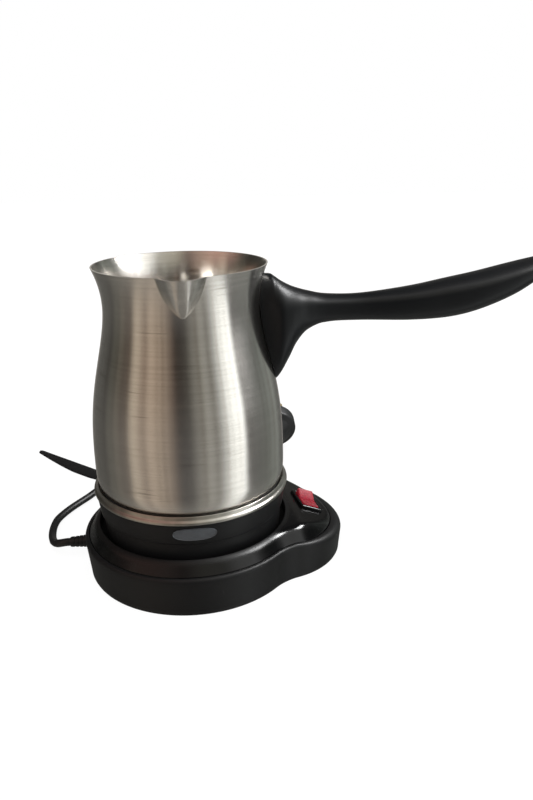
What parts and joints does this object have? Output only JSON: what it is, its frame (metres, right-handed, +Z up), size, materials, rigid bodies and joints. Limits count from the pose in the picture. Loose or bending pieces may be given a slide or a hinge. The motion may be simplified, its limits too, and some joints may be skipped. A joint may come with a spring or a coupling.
{
  "type": "electric turkish coffee maker",
  "caption": "Small flared steel coffee jug with a side handle, standing on a round electric power base with a red rocker switch, mains lead and plug.",
  "frame": {"origin": "centre of the jug's axis on the table, on the plane that the base rests on", "axes": "+X along the jug's handle, +Y away from the spout, +Z up"},
  "size_m": [0.3151, 0.2223, 0.165],
  "materials": {
    "jug_steel": "vertically brushed satin",
    "trim_chrome": "polished",
    "satin_black": "fine satin",
    "gloss_black": "high gloss",
    "dark_plastic": "moulded, dull",
    "handle_black": "smooth satin",
    "plate_grey": "plain, blank",
    "gasket_rubber": "matte",
    "feet_rubber": "matte",
    "spreader_aluminium": "turned",
    "element_steel": "dull",
    "pin_steel": "plain",
    "screw_steel": "zinc plated",
    "cream_plastic": "moulded, heat proof",
    "lead_insulation": "silicone sleeve",
    "contact_brass": "bright",
    "rocker_red": "translucent red, gloss",
    "lamp_glass": "clear glass lamp",
    "cord_black": "smooth jacket",
    "strap_fabric": "woven tape",
    "plug_black": "moulded rubbery plastic"
  },
  "bodies": {
    "base": {"base_body": "satin_black", "top_deck": "gloss_black", "bottom_plate": "satin_black", "rubber_feet": "feet_rubber", "base_screws": "screw_steel", "base_connector": "dark_plastic", "connector_core": "dark_plastic", "base_contacts": "contact_brass", "connector_screws": "screw_steel", "base_leads": "lead_insulation", "cord_clamp": "dark_plastic", "clamp_screws": "screw_steel", "cord_relief": "cord_black", "switch_housing": "gloss_black", "switch_terminals": "contact_brass", "mains_lead": "cord_black", "lead_coil": "cord_black", "plug_lead": "cord_black", "lead_strap": "strap_fabric", "plug_body": "plug_black", "plug_pins": "contact_brass"},
    "jug_lifter": {"jug_contacts": "contact_brass"},
    "jug": {"jug_body": "jug_steel", "pour_spout": "jug_steel", "bottom_ring": "trim_chrome", "jug_skirt": "satin_black", "name_plate": "plate_grey", "foot_gasket": "gasket_rubber", "heat_spreader": "spreader_aluminium", "heating_element": "element_steel", "element_pins": "pin_steel", "skirt_posts": "pin_steel", "skirt_screws": "screw_steel", "boil_dry_cutout": "cream_plastic", "thermal_fuse": "cream_plastic", "jug_connector": "cream_plastic", "jug_leads": "lead_insulation", "handle_bracket": "pin_steel", "handle_grip": "handle_black", "handle_screw": "screw_steel"},
    "rocker": {"rocker_button": "rocker_red", "rocker_lamp": "lamp_glass", "rocker_spring": "pin_steel"},
    "contact_blade": {"switch_blade": "contact_brass"}
  },
  "joints": [
    {"name": "jug_lift", "type": "slide", "parent": "base", "child": "jug_lifter", "axis": [0, 0, 1], "range_m": [0, 0.06]},
    {"name": "jug_turn", "type": "hinge", "parent": "jug_lifter", "child": "jug", "pos_m": [0, 0, 0.03], "axis": [0, 0, 1], "continuous": true},
    {"name": "rocker_tilt", "type": "hinge", "parent": "base", "child": "rocker", "pos_m": [0.06524, 0.00859, 0.0225], "axis": [0.9141, 0.1203, -0.3872], "range_deg": [-20, 0]},
    {"name": "blade_tilt", "type": "hinge", "parent": "base", "child": "contact_blade", "pos_m": [0.06351, 0.00836, 0.01575], "axis": [0.9141, 0.1203, -0.3872], "range_deg": [0, 12]}
  ],
  "couplings": [
    {"joint": "blade_tilt", "follows": "rocker_tilt", "ratio": -0.6}
  ]
}
